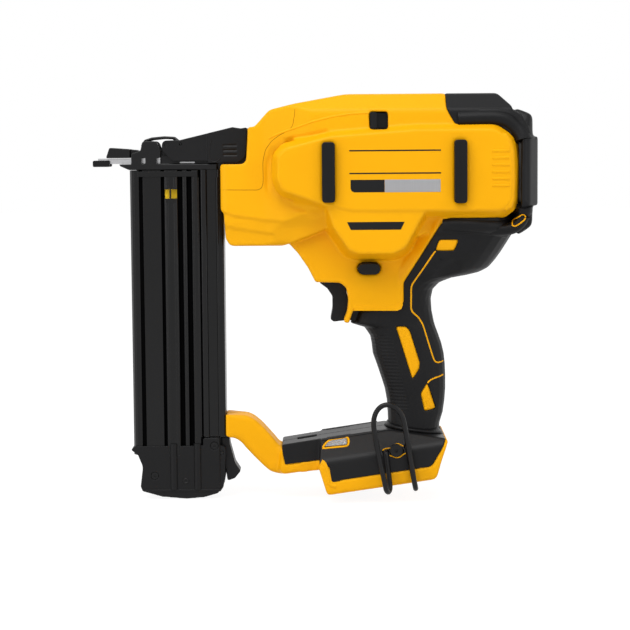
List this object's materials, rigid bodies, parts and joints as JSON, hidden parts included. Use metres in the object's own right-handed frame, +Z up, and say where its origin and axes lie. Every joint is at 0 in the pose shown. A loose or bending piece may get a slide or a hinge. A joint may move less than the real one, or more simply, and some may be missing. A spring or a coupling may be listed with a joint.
{
  "type": "cordless brad nailer",
  "caption": "Cordless brad nailer without its battery: flywheel drive, jam-clearing nose latch, sliding nail magazine, contact trip, pistol grip and wire belt hook.",
  "frame": {"origin": "under the middle of the tool, at the height of the magazine's lowest point", "axes": "+X from the nose to the rear cap, +Z up, +Y to the right-hand side; the belt hook is on minus Y"},
  "size_m": [0.295, 0.097, 0.2705],
  "materials": {
    "yellow_plastic": "fine moulded texture, satin",
    "black_plastic": "fine moulded texture, satin",
    "black_rubber": "matt overmoulded rubber",
    "dark_metal": "black coated steel",
    "black_aluminium": "black anodised extrusion",
    "aluminium": "cast and machined",
    "steel": "ground steel",
    "copper": "enamelled winding",
    "brass": "turned brass",
    "board": "circuit board",
    "lens": "clear moulded lens",
    "smoked_plastic": "dark window"
  },
  "bodies": {
    "tool_body": {"left_housing": "yellow_plastic", "right_housing": "yellow_plastic", "left_grip": "black_rubber", "right_grip": "black_rubber", "left_foot_cover": "black_plastic", "right_foot_cover": "black_plastic", "rear_cap": "black_plastic", "top_bumper": "black_rubber", "side_pads": "black_rubber", "nose_block": "dark_metal", "magazine_rail": "black_aluminium", "drive_frame": "aluminium", "guide_rods": "steel", "return_springs": "steel", "front_bumper": "black_rubber", "rear_bumper": "black_rubber", "stator": "copper", "axle": "steel", "solenoid_coil": "copper", "control_board": "board", "trigger_switch": "black_plastic", "trigger_pin": "steel", "terminal_block": "black_plastic", "terminal_blades": "copper", "light_lenses": "lens", "light_board": "board", "indicator_window": "smoked_plastic", "belt_hook": "dark_metal", "belt_hook_screw": "dark_metal", "hook_insert": "brass", "housing_screws": "dark_metal", "door_pin": "steel", "depth_screw": "steel"},
    "contact_trip": {"contact_trip": "steel", "no_mar_pad": "black_rubber"},
    "driver": {"driver": "steel"},
    "flywheel": {"flywheel": "aluminium", "flywheel_bearings": "steel"},
    "plunger": {"solenoid_plunger": "steel"},
    "pinch_carriage": {"pinch_carriage": "aluminium", "roller_pin": "steel"},
    "pinch_roller": {"pinch_roller": "steel"},
    "nose_door": {"nose_door": "dark_metal"},
    "latch_lever": {"latch_lever": "black_plastic", "latch_pin": "steel"},
    "latch_bail": {"latch_bail": "steel"},
    "trigger": {"trigger": "black_plastic"},
    "lock_off": {"lock_off_button": "black_plastic"},
    "stall_release": {"stall_release": "black_plastic"},
    "depth_wheel": {"depth_wheel": "black_plastic"},
    "magazine_slide": {"magazine_cover": "black_aluminium", "end_cap": "black_plastic", "end_cap_screws": "dark_metal", "magazine_latch_pin": "steel"},
    "magazine_latch": {"magazine_latch": "black_plastic"},
    "pusher": {"pusher": "yellow_plastic"}
  },
  "joints": [
    {"name": "trip_push", "type": "slide", "parent": "tool_body", "child": "contact_trip", "axis": [1, 0, 0], "range_m": [0, 0.006], "stiffness_N_per_m": 600, "springref_m": -0.01},
    {"name": "driver_stroke", "type": "slide", "parent": "tool_body", "child": "driver", "axis": [-1, 0, 0], "range_m": [0, 0.0795], "stiffness_N_per_m": 120, "springref_m": -0.03, "deforming": ["return_springs"]},
    {"name": "flywheel_spin", "type": "hinge", "parent": "tool_body", "child": "flywheel", "pos_m": [0.058, 0, 0.2022], "axis": [0, 1, 0], "continuous": true},
    {"name": "plunger_pull", "type": "slide", "parent": "tool_body", "child": "plunger", "axis": [1, 0, 0], "range_m": [0, 0.0035], "stiffness_N_per_m": 900, "springref_m": -0.003},
    {"name": "pinch_press", "type": "slide", "parent": "tool_body", "child": "pinch_carriage", "axis": [0, 0, -1], "range_m": [0, 0.0007]},
    {"name": "roller_spin", "type": "hinge", "parent": "pinch_carriage", "child": "pinch_roller", "pos_m": [0.058, 0, 0.2385], "axis": [0, 1, 0], "continuous": true},
    {"name": "door_hinge", "type": "hinge", "parent": "tool_body", "child": "nose_door", "pos_m": [-0.076, 0, 0.2321], "axis": [0, 1, 0], "range_deg": [0, 35]},
    {"name": "latch_hinge", "type": "hinge", "parent": "nose_door", "child": "latch_lever", "pos_m": [-0.0977, 0, 0.2378], "axis": [0, -1, 0], "range_deg": [0, 90]},
    {"name": "bail_hinge", "type": "hinge", "parent": "latch_lever", "child": "latch_bail", "pos_m": [-0.0885, 0, 0.2385], "axis": [0, 1, 0], "range_deg": [0, 72]},
    {"name": "trigger_pull", "type": "hinge", "parent": "tool_body", "child": "trigger", "pos_m": [0.014, 0, 0.154], "axis": [0, -1, 0], "range_deg": [0, 10], "stiffness_Nm_per_rad": 1.2, "springref_deg": -17.19},
    {"name": "lock_off_slide", "type": "slide", "parent": "tool_body", "child": "lock_off", "axis": [0, 1, 0], "range_m": [0, 0.003]},
    {"name": "stall_slide", "type": "slide", "parent": "tool_body", "child": "stall_release", "axis": [1, 0, 0], "range_m": [0, 0.005], "stiffness_N_per_m": 500, "springref_m": -0.004},
    {"name": "depth_turn", "type": "hinge", "parent": "tool_body", "child": "depth_wheel", "pos_m": [-0.029, 0, 0.1804], "axis": [1, 0, 0], "range_deg": [-360, 360]},
    {"name": "magazine_open", "type": "slide", "parent": "tool_body", "child": "magazine_slide", "axis": [0, 0, -1], "range_m": [0, 0.13]},
    {"name": "magazine_latch_squeeze", "type": "hinge", "parent": "magazine_slide", "child": "magazine_latch", "pos_m": [-0.0635, 0, 0.031], "axis": [0, 1, 0], "range_deg": [0, 10], "stiffness_Nm_per_rad": 0.8, "springref_deg": -14.32},
    {"name": "pusher_run", "type": "slide", "parent": "magazine_slide", "child": "pusher", "axis": [0, 0, -1], "range_m": [0, 0.11], "stiffness_N_per_m": 60, "springref_m": -0.05}
  ],
  "couplings": [
    {"joint": "pinch_press", "follows": "plunger_pull", "ratio": 0.2},
    {"joint": "door_hinge", "follows": "latch_hinge", "ratio": 0.33333},
    {"joint": "bail_hinge", "follows": "latch_hinge", "ratio": 0.8}
  ]
}
